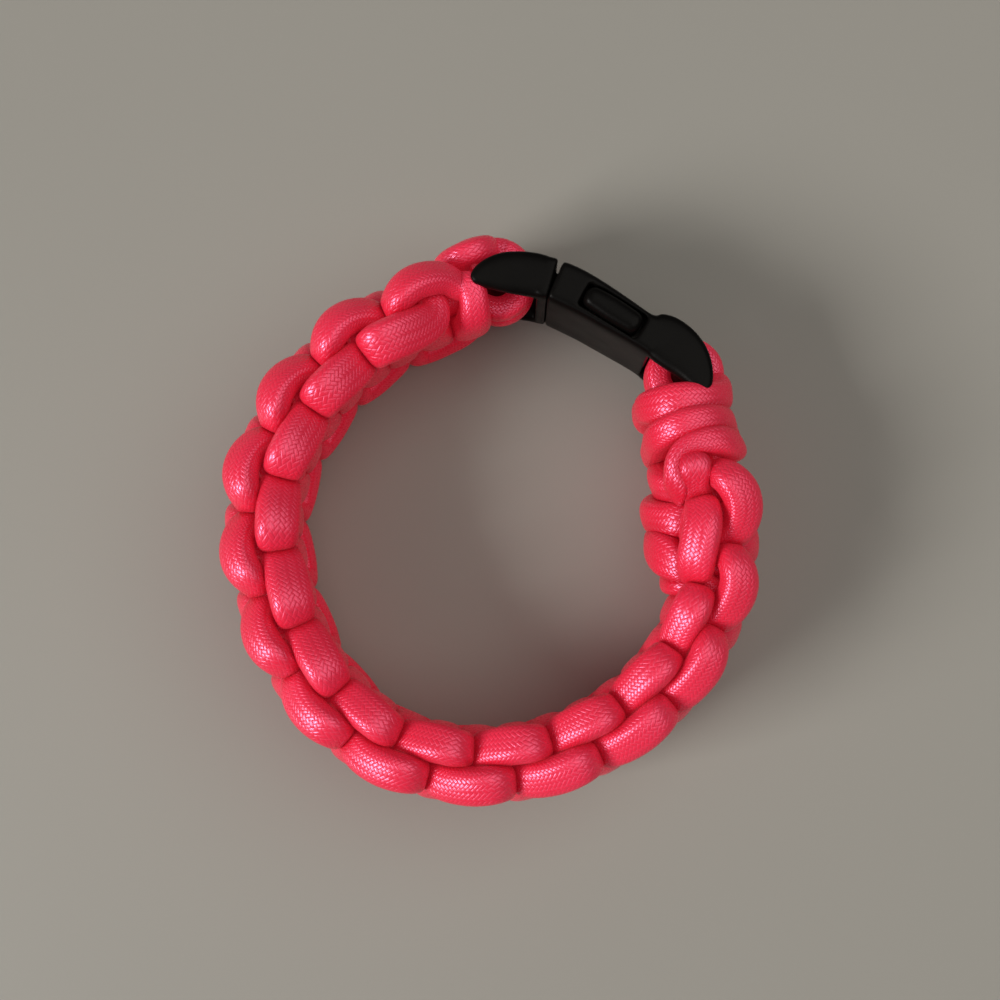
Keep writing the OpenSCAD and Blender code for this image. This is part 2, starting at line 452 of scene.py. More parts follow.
@dataclass(frozen=True)
class PlasticFinish:
    """Moulded black plastic with a fine matte grain, its depth in millimetres and scales per metre.

    rough_range is the least and greatest roughness.
    """

    colour: Colour = (0.0024, 0.0021, 0.0019, 1)
    rubbed: Colour = (0.0050, 0.0044, 0.0040, 1)
    specular: float = 0.055
    roughness: float = 0.36
    rough_range: tuple[float, float] = (0.2, 0.8)
    noise_detail: float = 3.0
    grain: float = 0.012
    grain_strength: float = 0.8
    grain_scale: float = 5200.0
    grain_rough: float = 0.12
    cloud_scale: float = 160.0
    cloud_contrast: float = 1.8
    cloud_rough: float = 0.22

    def material(self) -> bpy.types.Material:
        """The buckle's material: clouds of rubbed plastic and a fine grain.

        Returns:
            The material, which reads Object coordinates.
        """
        b = Bench("matte_black_plastic")
        where = b.node("TexCoord", {}, {}, "Object")
        fine = b.noise(where, self.grain_scale, self.noise_detail)
        cloud = b.noise(where, self.cloud_scale, self.noise_detail) - 0.5
        colour = b.blend((cloud * self.cloud_contrast).clip(0, 1), self.colour, self.rubbed)
        rough = self.roughness + cloud * self.cloud_rough + (fine - 0.5) * self.grain_rough
        relief = {"Strength": self.grain_strength, "Distance": self.grain * MM, "Height": fine}
        return b.finish(
            Base_Color=colour,
            Roughness=rough.clip(*self.rough_range),
            Normal=b.node("Bump", {}, relief),
            Specular_IOR_Level=self.specular,
        )


@dataclass(frozen=True)
class FloorFinish:
    """Plain pale floor, with the scale of its faint clouds per metre."""

    colour: Colour = (0.247, 0.237, 0.212, 1)
    cloud_scale: float = 14.0
    cloud_share: float = 0.5
    darkest: float = 0.93
    roughness: float = 0.62

    def material(self) -> bpy.types.Material:
        """The floor's material, with the faintest change of tone.

        Returns:
            The material, which reads Object coordinates.
        """
        b = Bench("pale_floor")
        where = b.node("TexCoord", {}, {}, "Object")
        tone = b.noise(where, self.cloud_scale) * self.cloud_share
        colour = b.blend(tone, self.colour, tuple(self.darkest * c for c in self.colour[:3]) + (1,))
        return b.finish(Base_Color=colour, Roughness=self.roughness)


# The band's sizes and route


@dataclass(frozen=True)
class Sizes:
    """Sizes that the band and the buckle share.

    They are the solids' own, apart from knot_pitch and loop_shares, which follow the
    outlines and the number of bumps more closely, and the flares, which the solids lack:
    the band leans out towards its lower edge by flare of the height. It leans more by the
    stem, as stem_flare fades over stem_flare_l, but not at the bars: the lean comes over
    flare_starts and goes over flare_ends.
    """

    squeezed_d: float = 3.1
    cord_gap: float = 0.25
    loop_r: float = 26.0
    knot_pitch: float = 4.7
    slack: float = 2.5
    bar_span: float = 24.0
    buckle_at: float = 63.5
    bar_r: float = 1.4
    edge_across: float = 3.0
    tube_sides: int = 8
    chord_share: float = 0.985
    neck_sweep: float = 13.0
    flare: float = 0.05
    stem_flare: float = 1.4
    stem_flare_l: float = 12.0
    flare_starts: float = 3.0
    flare_ends: float = 20.0
    loop_shares: tuple[float, ...] = (
        1.035, 1.008, 1.006, 1.018, 1.008, 1.032, 1.062, 1.05, 1.033, 1.025, 1.024, 1.014, 0.965
    )

    @property
    def tube_t(self) -> float:
        """Thickness of the solids' tubes."""
        return self.squeezed_d - self.cord_gap

    @property
    def band_z(self) -> float:
        """Height of the band's middle over the surface."""
        return self.edge_across * self.squeezed_d + self.tube_t / 2 * math.cos(math.pi / self.tube_sides)

    @property
    def wrap_r(self) -> float:
        """Radius of a cord's middle where it turns round a bar."""
        return self.bar_r + self.cord_gap / 2 + self.tube_t / 2

    @property
    def chord_mid(self) -> Array:
        """Point midway between the bars, seen from above."""
        a = math.radians(self.buckle_at)
        return self.loop_r * self.chord_share * np.array([math.cos(a), math.sin(a)])

    @property
    def chord_dir(self) -> Array:
        """Direction from the stem's bar to the socket's."""
        a = math.radians(self.buckle_at - 90)
        return np.array([math.cos(a), math.sin(a)])


class Route:
    """Middle line of the band, from the stem's bar round the wrist to the socket's bar."""

    STEPS = 40

    def __init__(self, sizes: Sizes) -> None:
        """Lays the line through both bars and the loop's points.

        The line is a Catmull-Rom curve: each span is a cubic whose slope at a point is
        half the step between that point's neighbours.

        Args:
            sizes: the band's sizes.
        """
        self.sizes = s = sizes
        bar_angle = math.degrees(math.atan(s.bar_span / 2 / (s.loop_r * s.chord_share)))
        first = s.buckle_at + bar_angle + s.neck_sweep
        last = s.buckle_at + 360 - bar_angle - s.neck_sweep
        sweep = np.radians(np.linspace(first, last, len(s.loop_shares)))
        radius = s.loop_r * np.array(s.loop_shares)[:, None]
        loop = radius * np.column_stack([np.cos(sweep), np.sin(sweep)])
        ends = s.chord_dir * s.bar_span / 2
        stem, socket = s.chord_mid - ends, s.chord_mid + ends
        knots = np.vstack([stem, stem, loop, socket, socket])
        spans = len(knots) - 3
        at = np.linspace(0, spans, spans * self.STEPS + 1)
        i = np.minimum(at.astype(int), spans - 1)
        t = (at - i)[:, None]
        a, b, c, d = (knots[i + n] for n in range(4))
        squared, cubed = 2 * a - 5 * b + 4 * c - d, 3 * b - a - 3 * c + d
        self.points = 0.5 * (2 * b + (c - a) * t + squared * t**2 + cubed * t**3)
        self.reach = distances(self.points)
        self.length = float(self.reach[-1])

    def on(self, w: Array) -> Array:
        """Points of the line at distances w from its start."""
        return column_interp(w, self.reach, self.points)

    def heading(self, w: Array) -> Array:
        """Direction of the line at distances w, read over a millimetre each way."""
        m = np.clip(w, 1, self.length - 1)
        return unit(self.on(m + 1) - self.on(m - 1))

    def outward(self, w: Array) -> Array:
        """Direction away from the wrist at distances w."""
        h = self.heading(w)
        return np.column_stack([h[:, 1], -h[:, 0]])

    def place(self, u: Array, v: Array, w: Array) -> Array:
        """Points in the band's own coordinates.

        Args:
            u: heights over the band's middle.
            v: places outwards from the line.
            w: distances along the line, which goes on straight past its ends.

        Returns:
            One point for each.
        """
        s = self.sizes
        q = np.clip(w, 0, self.length)
        more = 1 + s.stem_flare * np.exp(-q / s.stem_flare_l)
        held = np.clip(q / s.flare_starts, 0, 1) * np.clip((self.length - q) / s.flare_ends, 0, 1)
        v = v - u * s.flare * more * held
        flat = self.on(q) + self.heading(w) * (w - q)[:, None] + self.outward(w) * v[:, None]
        return np.column_stack([flat, s.band_z + u])

    def facing(self, w: Array, turn: Array, lean: Array, face: int, side: Array | int) -> Array:
        """Directions that a cord's flat faces.

        Args:
            w: distances along the line.
            turn: degrees from the edge that the cord comes from (0) to the face (90).
            lean: degrees that the flat leans along the line.
            face: 1 on the outer face, -1 on the inner one.
            side: 1 where the cord comes from the upper edge, -1 from the lower.

        Returns:
            One unit vector for each distance.
        """
        t, a = np.radians(turn), np.radians(lean)
        v, u = face * np.sin(t) * np.cos(a), side * np.cos(t) * np.cos(a)
        flat = self.outward(w) * v[:, None] + self.heading(w) * np.sin(a)[:, None]
        return unit(np.column_stack([flat, u]))


@dataclass
class Rings:
    """Cross-sections along a cord.

    Each has its middle, the way its flat faces, its width in squeezed thicknesses, and how
    plump it is, from 0 with the solids' gap kept round it to 1 with that gap filled.
    """

    middle: Array
    flat: Array
    wide: Array
    plump: Array

    def __add__(self, other: "Rings") -> "Rings":
        """These rings followed by others."""
        return Rings(*(np.concatenate(pair) for pair in zip(vars(self).values(), vars(other).values())))

    def reversed(self) -> "Rings":
        """The same rings from the other end."""
        return Rings(*(part[::-1] for part in vars(self).values()))


# Cords


@dataclass
class Cord:
    """One run of cord, from its chosen rings to a smooth flattened tube.

    The fields from length on are worked out by smooth, at even steps along the cord: the
    distance run, the middle, the directions along the cord, of its flat and across both,
    and half its thickness and width.
    """

    name: str
    rings: Rings
    sizes: Sizes
    step: float = 0.39
    around: int = 40
    fine_step: float = 0.1
    least_apart: float = 0.05
    path_passes: int = 40
    turn_passes: int = 60
    section_power: float = 0.74
    dome_l: float = 0.6
    tip: float = 0.05
    length: float = field(init=False)
    run: Array = field(init=False)
    middle: Array = field(init=False)
    along: Array = field(init=False)
    flat: Array = field(init=False)
    across: Array = field(init=False)
    half_t: Array = field(init=False)
    half_w: Array = field(init=False)

    def smooth(self) -> None:
        """Runs smooth curves through the rings and reads them at even steps along the cord.

        Rings that all but share a place are left out, and each flat is first turned to the
        side that the one before it faces.
        """
        r, s = self.rings, self.sizes
        keep = np.append(True, np.linalg.norm(np.diff(r.middle, axis=0), axis=1) > self.least_apart)
        middle, flat, rest = r.middle[keep], r.flat[keep], np.column_stack([r.wide, r.plump])[keep]
        met = np.where((flat[1:] * flat[:-1]).sum(1) < 0, -1, 1)
        flat = flat * np.append(1, np.cumprod(met))[:, None]
        at = distances(middle)
        fine = np.linspace(0, at[-1], int(at[-1] / self.fine_step))
        path = blurred(hermite(at, middle, fine), 0, self.path_passes, False)
        flat, rest = (blurred(hermite(at, v, fine), 0, self.turn_passes, False) for v in (flat, rest))
        run = distances(path)
        self.length = float(run[-1])
        self.run = np.linspace(0, self.length, int(self.length / self.step))
        self.middle, flat, rest = (column_interp(self.run, run, v) for v in (path, flat, rest))
        self.along = unit(np.gradient(self.middle, axis=0))
        self.flat = unit(flat - self.along * (flat * self.along).sum(1, keepdims=True))
        self.across = np.cross(self.along, self.flat)
        wide, plump = rest.T
        gap = s.cord_gap * (1 - plump)
        self.half_t = (s.squeezed_d - gap) / 2
        self.half_w = (wide * s.squeezed_d - gap) / 2

    def section(self) -> Array:
        """Each ring's oval, a little squarer than an ellipse.

        Returns:
            Offsets from the middle, rings by points round by 3.
        """
        c, s = superellipse(self.around, self.section_power)
        thick = self.flat[:, None] * (c * self.half_t[:, None])[..., None]
        return thick + self.across[:, None] * (s * self.half_w[:, None])[..., None]

    def uv(self, grid: Array) -> Array:
        """The map that the braid follows.

        Args:
            grid: the tube's points, rings by points round by 3.

        Returns:
            Turns round the cord by arc length, and millimetres along it, for each point and
            for the first one again.
        """
        closed = np.concatenate([grid, grid[:, :1]], 1)
        side = np.linalg.norm(np.diff(closed, axis=1), axis=2)
        turn = np.concatenate([np.zeros((len(grid), 1)), np.cumsum(side, 1)], 1)
        turn /= turn[:, -1:]
        return np.stack([turn, np.repeat(self.run[:, None], turn.shape[1], 1)], -1)

    def domed(self) -> Array:
        """Share of its section that each ring keeps: at both ends a quarter circle over dome_l.

        Returns:
            One value for each ring, from tip to 1.
        """
        rows = np.arange(len(self.run))
        end = np.minimum(np.minimum(rows, rows[::-1]) * self.step / self.dome_l, 1)
        return np.sqrt(np.clip(1 - (1 - end) ** 2, self.tip**2, 1))

    def mesh(self, share: Array, tuck: Array) -> bpy.types.Object:
        """The cord's tube, which never goes below the surface.

        Args:
            share: how much of its full section each point keeps.
            tuck: how deep in a crease each point lies, where the material paints shade.

        Returns:
            The piece.
        """
        grid = self.middle[:, None] + self.section() * (share * self.domed()[:, None])[..., None]
        grid[..., 2] = np.maximum(grid[..., 2], 0)
        return grid_mesh(self.name, grid, self.uv(grid), tuck)


@dataclass
class Press:
    """Cords that lie against each other, flattened where they meet.

    Each ring is held against the near rings closest to it, apart from those of its own
    cord less than apart along it, and those within open_end of a cord's end.
    """

    cords: list[Cord]
    near: int = 40
    apart: float = 5.0
    open_end: float = 2.6
    rounds: int = 9
    pace: float = 0.5
    clear: float = 0.01
    least: float = 0.45
    crease_from: float = 1.55
    soft: int = 2
    block: int = 256
    far: float = 1e9

    def stacked(self, key: str) -> Array:
        """One value of every ring, cord after cord."""
        return np.concatenate([getattr(cord, key) for cord in self.cords]).astype(np.float32)

    def reach(self, points: Array, there: list[Array]) -> Array:
        """How far points lie from the nearest ring's middle, in that ring's half sizes.

        With d from the middle to the point, it is the root of the sum of three squares: d
        along the flat by half the thickness, d across by half the width, and what d has
        along the cord past one step, by half the thickness.

        Args:
            points: rings by points round by 3.
            there: the middles, directions and half sizes of the rings near each ring.

        Returns:
            One value for each point.
        """
        middle, along, flat, across, half_t, half_w = there
        d = points[:, :, None] - middle
        past = np.maximum(np.abs((d * along).sum(-1)) - self.cords[0].step, 0)
        squares = ((d * flat).sum(-1) / half_t) ** 2 + ((d * across).sum(-1) / half_w) ** 2
        return np.sqrt((squares + (past / half_t) ** 2).min(-1))

    def shares(self) -> list[tuple[Array, Array]]:
        """How much of its full section each point keeps, and how deep in a crease it lies.

        A point moves towards its own middle until its share of its own section equals its
        reach into the nearest other cord. It lies in a crease where that reach is less than
        crease_from, and is deepest where the cords touch. The material paints shade in the
        creases by this depth.

        Returns:
            For each cord, both as rings by points round.
        """
        rings = [self.stacked(key) for key in ("middle", "along", "flat", "across", "half_t", "half_w")]
        middle, run = rings[0], self.stacked("run")
        owner = np.concatenate([np.full(len(cord.run), n) for n, cord in enumerate(self.cords)])
        left = np.concatenate([np.minimum(cord.run, cord.length - cord.run) for cord in self.cords])
        offset = np.concatenate([cord.section() for cord in self.cords]).astype(np.float32)
        share = np.ones(offset.shape[:2], np.float32)
        tuck = np.zeros(offset.shape[:2], np.float32)
        for low in range(0, len(middle), self.block):
            part = slice(low, low + self.block)
            gap = ((middle[part, None] - middle[None]) ** 2).sum(2)
            same_cord = owner[part, None] == owner[None]
            gap[same_cord & (np.abs(run[part, None] - run[None]) < self.apart)] = self.far
            gap[:, left < self.open_end] = self.far
            nearest = np.argpartition(gap, self.near, axis=1)[:, : self.near]
            there = [ring[nearest][:, None] for ring in rings]
            kept = share[part]
            for _ in range(self.rounds):
                reach = self.reach(middle[part, None] + offset[part] * kept[..., None], there)
                kept = np.clip(kept + self.pace * (reach - self.clear - kept), self.least, 1)
            share[part] = kept
            tuck[part] = np.clip((self.crease_from - reach) / (self.crease_from - 1), 0, 1)
        cuts = np.cumsum([len(cord.run) for cord in self.cords])[:-1]
        pairs = zip(np.split(share, cuts), np.split(tuck, cuts))
        return [(self.evened(kept), self.evened(deep)) for kept, deep in pairs]

    def evened(self, values: Array) -> Array:
        """Values of one cord's points, evened out along it and then round it."""
        return blurred(blurred(values, 0, self.soft, False), 1, self.soft, True)


@dataclass(frozen=True)
class Roll:
    """How the bumps at an edge differ where the band is rolled, in the tables' units."""

    wide: float
    through: float
    across: float
    turn: float


@dataclass
class KnottedBand:
    """The two cores with their hitch, and the two working strands tied round them."""

    sizes: Sizes
    finish: BraidFinish = field(default_factory=BraidFinish)
    # Where the knots start and stop beside the bars, in squeezed thicknesses, how much the
    # necks there swell them, and over what length.
    first_knot: float = 1.45
    last_knot: float = 3.55
    neck_swell: float = 0.45
    swell_l: float = 2.6
    # Rows whose across is under bump_from make the bump at an edge, with bump_mid its middle.
    bump_from: float = -1.9
    bump_mid: float = 0.85
    # The band is rolled up to roll_to of its length, and less over the last roll_over of it.
    roll_to: float = 0.5
    roll_over: float = 0.14
    outer_roll: Roll = Roll(wide=0.22, through=-0.12, across=-0.03, turn=4)
    inner_roll: Roll = Roll(wide=0.0, through=-0.10, across=0.22, turn=16)
    # The inner strand's bumps have domed ends there, and again from dome_from of the length.
    dome_from: float = 0.74
    dome_over: float = 0.08
    dome_in: float = 0.42
    dome_narrow: float = 0.22
    # Two of the outer strand's bumps, counted from the end, lie further on, in pitches: the
    # one that leaves a hole behind it, and the one that becomes the knob.
    parted_bump: int = 3
    parted_on: float = 0.85
    parted_fan: float = 0.05
    knob_bump: int = 1
    knob_on: float = 0.75
    # The loosened crossing: its place from the end and reach each way, in pitches, how far
    # it stands off, slants and widens, how far that holds across, and where it starts.
    loose_from_end: float = 1.5
    loose_half: float = 1.5
    loose_more: float = 1.9
    loose_slant: float = 0.42
    loose_wide: float = 0.06
    loose_at_edge: float = 0.2
    loose_across: float = 2.4
    inside_at: float = 0.7
    face_across: float = 1.6
    # Turns round the bars, in degrees from the inner side, how loose they are, and their rows.
    wrap_lead: float = 42.0
    loop_end: float = 169.0
    strand_from: float = 138.0
    hitch_from: float = 192.0
    loop_loose: float = 0.36
    hitch_loose: float = 0.14
    bar_rows: int = 9
    strand_rows: int = 4
    # The cores: half their distance apart in squeezed thicknesses, where they settle beside
    # the bars in millimetres, their rows, and their section there and beside the bars.
    cord_at: float = 0.5
    core_from: float = 8.0
    core_rows: int = 25
    core_wide: float = 0.95
    core_plump: float = 0.5
    bar_plump: float = 0.4

    # Columns: across and through in squeezed thicknesses from the band's middle, along in
    # pitches from the crossing, where the flat faces and leans in degrees, and the width.
    HALF_KNOT = np.array([
        [1.75, -0.45, 0.56, 180, 50, 1.05], [1.50, 0.05, 0.28, 200, 15, 1.05],
        [1.15, 0.70, 0.14, 240, 0, 1.20], [0.35, 0.94, 0.04, 270, 0, 1.40],
        [-0.50, 0.94, -0.05, 270, 0, 1.40], [-1.30, 0.80, -0.14, 285, 0, 1.25],
        [-1.72, 0.42, -0.24, 320, 0, 1.05], [-1.85, -0.10, -0.24, 350, 15, 1.08],
        [-2.02, -0.48, -0.04, 10, 35, 1.22], [-2.36, -0.63, 0.28, 20, 20, 1.34],
        [-2.68, -0.68, 0.66, 22, 12, 1.40], [-2.92, -0.68, 1.10, 22, 4, 1.40],
        [-2.94, -0.63, 1.44, 20, -20, 1.36], [-2.36, -0.56, 1.68, 8, -80, 1.26],
    ])
    # The row where the strand comes onto the face, and how many rows lead to the knob.
    FIRST_FACE = 3
    KNOB_ROWS = 10
    # The same columns beside a bar, with along in squeezed thicknesses from it.
    OUTER_START = np.array([
        [0.98, 1.32, 0.18, 85, 0, 1.20], [1.28, 1.36, 0.62, 72, 0, 1.32],
        [1.15, 1.32, 1.10, 78, 0, 1.40], [0.45, 1.22, 1.42, 90, 0, 1.40],
    ])
    INNER_START = np.array([
        [1.20, 1.10, 0.00, 90, 0, 1.10], [2.00, 1.25, 0.10, 80, 0, 1.20],
        [2.70, 1.25, 0.50, 50, 0, 1.30], [2.80, 1.25, 1.15, 20, 0, 1.30],
        [2.70, 0.95, 1.80, 15, 0, 1.25], [1.95, 0.60, 2.20, 40, 0, 1.05],
    ])
    # The outer strand's short knob by the hollow half, where the strand ends.
    OUTER_END = np.array([
        [2.86, -0.50, 3.46, 10, -10, 1.38], [2.70, -0.48, 3.14, 8, -50, 1.30],
        [2.10, -0.42, 3.00, 0, -80, 1.15], [1.50, -0.35, 3.10, 0, -80, 1.00],
    ])
    # The inner strand's first wrap, over the upper edge to its U-turn on the outer face, and
    # its second one, back over that edge and right round the neck to its end.
    INNER_END = np.array([
        [1.40, -1.15, 4.10, -60, 0, 1.25], [2.15, -1.20, 3.95, -42, 0, 1.25],
        [2.50, -1.08, 3.60, -28, 0, 1.22], [2.62, -0.88, 3.15, -15, 0, 1.15],
        [2.70, -0.40, 2.88, 0, 0, 1.12], [2.66, 0.22, 2.86, 15, 0, 1.15],
        [2.42, 0.80, 3.06, 38, 0, 1.18], [1.80, 1.15, 3.40, 60, 0, 1.15],
        [0.90, 1.25, 3.30, 90, 0, 1.05], [0.75, 1.30, 2.70, 90, 0, 1.05],
        [1.50, 1.22, 2.22, 65, 0, 1.12], [2.20, 0.86, 2.08, 40, 0, 1.15],
        [2.52, 0.30, 2.02, 12, 0, 1.15], [2.55, -0.40, 2.05, -10, 0, 1.15],
        [2.12, -1.00, 2.14, -45, 0, 1.15], [1.35, -1.25, 2.22, -80, 0, 1.10],
        [0.60, -1.27, 2.30, -90, 0, 1.05], [-0.50, -1.28, 2.38, -90, 0, 1.05],
        [-1.45, -1.22, 2.45, -110, 0, 1.10], [-2.15, -0.80, 2.50, -145, 0, 1.20],
        [-2.45, 0.00, 2.55, 180, 0, 1.25], [-2.15, 0.85, 2.60, 145, 0, 1.20],
        [-1.40, 1.22, 2.65, 110, 0, 1.10], [-0.60, 1.28, 2.70, 90, 0, 1.00],
    ])
    CORE_START = np.array([
        [0.50, -0.25, 1.10, -90, 0, 0.95], [0.50, 0.00, 1.70, -90, 0, 0.95],
    ])
    CORE_END = np.array([
        [0.50, 0.00, 2.00, -90, 0, 0.95], [0.50, -0.40, 1.10, -90, 0, 0.95],
    ])
    # The hitch, from the socket's bar round an edge, and the middle of its bight inside.
    HITCH = np.array([
        [0.80, 1.22, 0.50, 88, 0, 1.12], [1.30, 1.25, 0.90, 70, 0, 1.25],
        [1.90, 0.80, 1.18, 40, 0, 1.38], [2.20, 0.05, 1.25, 8, 0, 1.50],
        [2.10, -0.62, 1.25, -22, 0, 1.50], [1.58, -1.12, 1.25, -60, 0, 1.40],
        [0.75, -1.38, 1.20, -90, 0, 1.20],
    ])
    BIGHT = np.array([[0.00, -1.34, 1.20, -90, 0, 1.00]])

    def __post_init__(self) -> None:
        """Works out the route and how the knots share it."""
        s = self.sizes
        self.route = Route(s)
        self.start = self.first_knot * s.squeezed_d
        end = self.route.length - self.last_knot * s.squeezed_d
        self.count = 2 * round((end - self.start) / s.knot_pitch / 2)
        self.pitch = (end - self.start) / self.count

    def knots(self, face: Face, first: int, last: int, rows: slice = slice(None)) -> Rings:
        """Rings of half knots from the first to the last, both included.

        Args:
            face: the face that the strand crosses.
            first: number of the first crossing.
            last: number of the last crossing.
            rows: which rows of the half knot's table to take.

        Returns:
            The rings, crossing after crossing.
        """
        s, f, full = self.sizes, face.value, self.route.length
        table = self.HALF_KNOT[rows]
        k = np.repeat(np.arange(first, last + 1), len(table))
        across, through, along, turn, lean, wide = np.tile(table, (last - first + 1, 1)).T
        side = f * np.where(k % 2 == 0, 1, -1)
        w = self.start + self.pitch * (k + along)
        near = np.maximum(0, 1 - np.minimum(w, full - w) / (self.swell_l * s.squeezed_d))
        bump = across < self.bump_from
        rolled = bump * np.clip((self.roll_to - w / full) / self.roll_over, 0, 1)
        roll = self.outer_roll if face is Face.OUTER else self.inner_roll
        wide, through = wide + rolled * roll.wide, through + rolled * roll.through
        across, turn = across + rolled * roll.across, turn + rolled * roll.turn
        if face is Face.OUTER:
            parted = bump & (k == self.count - self.parted_bump)
            knob = bump & (k == self.count - self.knob_bump)
            w = w + self.pitch * (parted * (self.parted_on + self.parted_fan * along) + knob * self.knob_on)
        else:
            late = bump * np.clip((w / full - self.dome_from) / self.dome_over, 0, 1)
            ends = np.maximum(rolled, late) * ((along - self.bump_mid) / self.bump_mid) ** 2
            wide, through = wide - self.dome_narrow * ends, through + self.dome_in * ends
        v = f * through * s.squeezed_d * (1 + self.neck_swell * near)
        v, w, wide = self.loosened(side * across, v, w, wide)
        middle = self.route.place(side * across * s.squeezed_d, v, w)
        return Rings(middle, self.route.facing(w, turn, lean, f, side), wide, np.ones(len(w)))

    def inside(self, v: Array) -> Array:
        """How far places v outwards have come to the inner face, from 0 to 1."""
        return np.clip(-v / (self.inside_at * self.sizes.squeezed_d), 0, 1)

    def loosened(self, up: Array, v: Array, w: Array, wide: Array) -> tuple[Array, Array, Array]:
        """Stands the loosened crossing near the socket off the inner face.

        The slack is a bell curve along the band. Across it, it falls off from the middle as
        1 - x², down to loose_at_edge. It also slants the cord along the band and widens it.

        Args:
            up: heights over the band's middle, in squeezed thicknesses.
            v: places outwards.
            w: places along the band.
            wide: widths.

        Returns:
            The new v, w and wide.
        """
        knot = (w - self.start) / self.pitch - self.count + self.loose_from_end
        loose = self.sizes.slack * self.loose_more * np.exp(-((knot / self.loose_half) ** 2))
        bulge = np.maximum(0, 1 - (up / self.loose_across) ** 2)
        v = v - loose * self.inside(v) * (self.loose_at_edge + (1 - self.loose_at_edge) * bulge)
        pulled = loose * self.inside(v)
        wide = wide * (1 + self.loose_wide * pulled * (np.abs(up) < self.face_across))
        return v, w - self.loose_slant * pulled * up, wide

    def beside_bar(self, rows: Array, side: int, at: float, way: int) -> Rings:
        """Rings from one of the tables beside a bar.

        Args:
            rows: the table.
            side: 1 on the upper side, -1 on the lower.
            at: the bar's place along the band.
            way: 1 from the stem's bar, -1 from the socket's.

        Returns:
            The rings.
        """
        s = self.sizes
        across, through, along, turn, lean, wide = rows.T
        w = at + way * along * s.squeezed_d
        middle = self.route.place(side * across * s.squeezed_d, through * s.squeezed_d, w)
        flat = self.route.facing(w, turn, way * lean, 1, side)
        return Rings(middle, flat, wide, np.full(len(w), self.bar_plump))

    def round_bar(self, side: int, at: float, way: int, angles: Array) -> Rings:
        """Rings of a cord that turns round a bar, from the inner side through the slot outwards.

        Args:
            side: 1 on the upper side, -1 on the lower.
            at: the bar's place along the band.
            way: 1 at the stem's bar, -1 at the socket's.
            angles: degrees round the bar, from its inner side.

        Returns:
            The rings.
        """
        s = self.sizes
        a = np.radians(angles)
        loose = self.loop_loose if way > 0 else self.hitch_loose
        r = s.wrap_r * (1 + loose * np.maximum(0, -np.cos(a)))
        up = np.full(len(a), side * self.cord_at * s.squeezed_d)
        middle = self.route.place(up, -r * np.cos(a), at - way * r * np.sin(a))
        here = np.full(len(a), at)
        h, n = self.route.heading(here), self.route.outward(here)
        flat = n * -np.cos(a)[:, None] - h * way * np.sin(a)[:, None]
        return Rings(middle, np.column_stack([flat, np.zeros(len(a))]), np.ones(len(a)), np.zeros(len(a)))

    def core_half(self, side: int) -> Rings:
        """One core, from the stem's bar to the hitch on the socket's bar.

        Args:
            side: 1 for the upper core, -1 for the lower.

        Returns:
            The rings.
        """
        full = self.route.length
        w = np.linspace(self.core_from, full - self.core_from, self.core_rows)[:-1]
        like = np.ones(len(w))
        middle = self.route.place(like * side * self.cord_at * self.sizes.squeezed_d, 0 * like, w)
        flat = self.route.facing(w, -90 * like, 0 * like, 1, 1)
        inside = Rings(middle, flat, like * self.core_wide, like * self.core_plump)
        ends = (self.loop_end, self.hitch_from)
        loop, hitch = (np.linspace(-self.wrap_lead, end, self.bar_rows) for end in ends)
        return (
            self.round_bar(side, 0, 1, loop).reversed()
            + self.beside_bar(self.CORE_START, side, 0, 1)
            + inside
            + self.beside_bar(self.CORE_END, side, full, -1)
            + self.round_bar(side, full, -1, hitch)
            + self.beside_bar(self.HITCH, side, full, -1)
        )

    def core(self) -> Rings:
        """Both cores, joined by the bight of the hitch."""
        bight = self.beside_bar(self.BIGHT, 1, self.route.length, -1)
        return self.core_half(1) + bight + self.core_half(-1).reversed()

    def strand_start(self, side: int) -> Rings:
        """A strand's turn over the outer side of the stem's bar."""
        return self.round_bar(side, 0, 1, np.linspace(self.strand_from, 180, self.strand_rows))

    def outer(self) -> Rings:
        """The outer strand, from the stem's bar to its knob by the socket.

        Returns:
            The rings.
        """
        last = self.count - 1
        return (
            self.strand_start(1)
            + self.beside_bar(self.OUTER_START, 1, 0, 1)
            + self.knots(Face.OUTER, 0, 0, slice(self.FIRST_FACE + 1, None))
            + self.knots(Face.OUTER, 1, last - 1)
            + self.knots(Face.OUTER, last, last, slice(0, self.KNOB_ROWS))
            + self.beside_bar(self.OUTER_END, 1, self.route.length, -1)
        )

    def inner(self) -> Rings:
        """The inner strand, from the stem's bar to its wraps round the socket's neck.

        Returns:
            The rings.
        """
        return (
            self.strand_start(-1)
            + self.beside_bar(self.INNER_START, -1, 0, 1)
            + self.knots(Face.INNER, 0, self.count - 1)
            + self.knots(Face.INNER, self.count, self.count, slice(0, self.FIRST_FACE + 2))
            + self.beside_bar(self.INNER_END, 1, self.route.length, -1)
        )

    def build(self) -> dict[str, bpy.types.Object]:
        """Makes and dresses the three cords.

        Returns:
            The pieces, by the CAD node that each stands for.
        """
        cords = {
            "core_cord": Cord("paracord_core", self.core(), self.sizes),
            "outer_strand": Cord("paracord_outer", self.outer(), self.sizes),
            "inner_strand": Cord("paracord_inner", self.inner(), self.sizes),
        }
        for cord in cords.values():
            cord.smooth()
        material = self.finish.material()
        pieces = {}
        for (node, cord), pressed in zip(cords.items(), Press(list(cords.values())).shares()):
            pieces[node] = piece = cord.mesh(*pressed)
            piece.data.materials.append(material)
            LOG.info("%s: %.0f mm of cord, %d faces", cord.name, cord.length, len(piece.data.polygons))
        return pieces


# Buckle


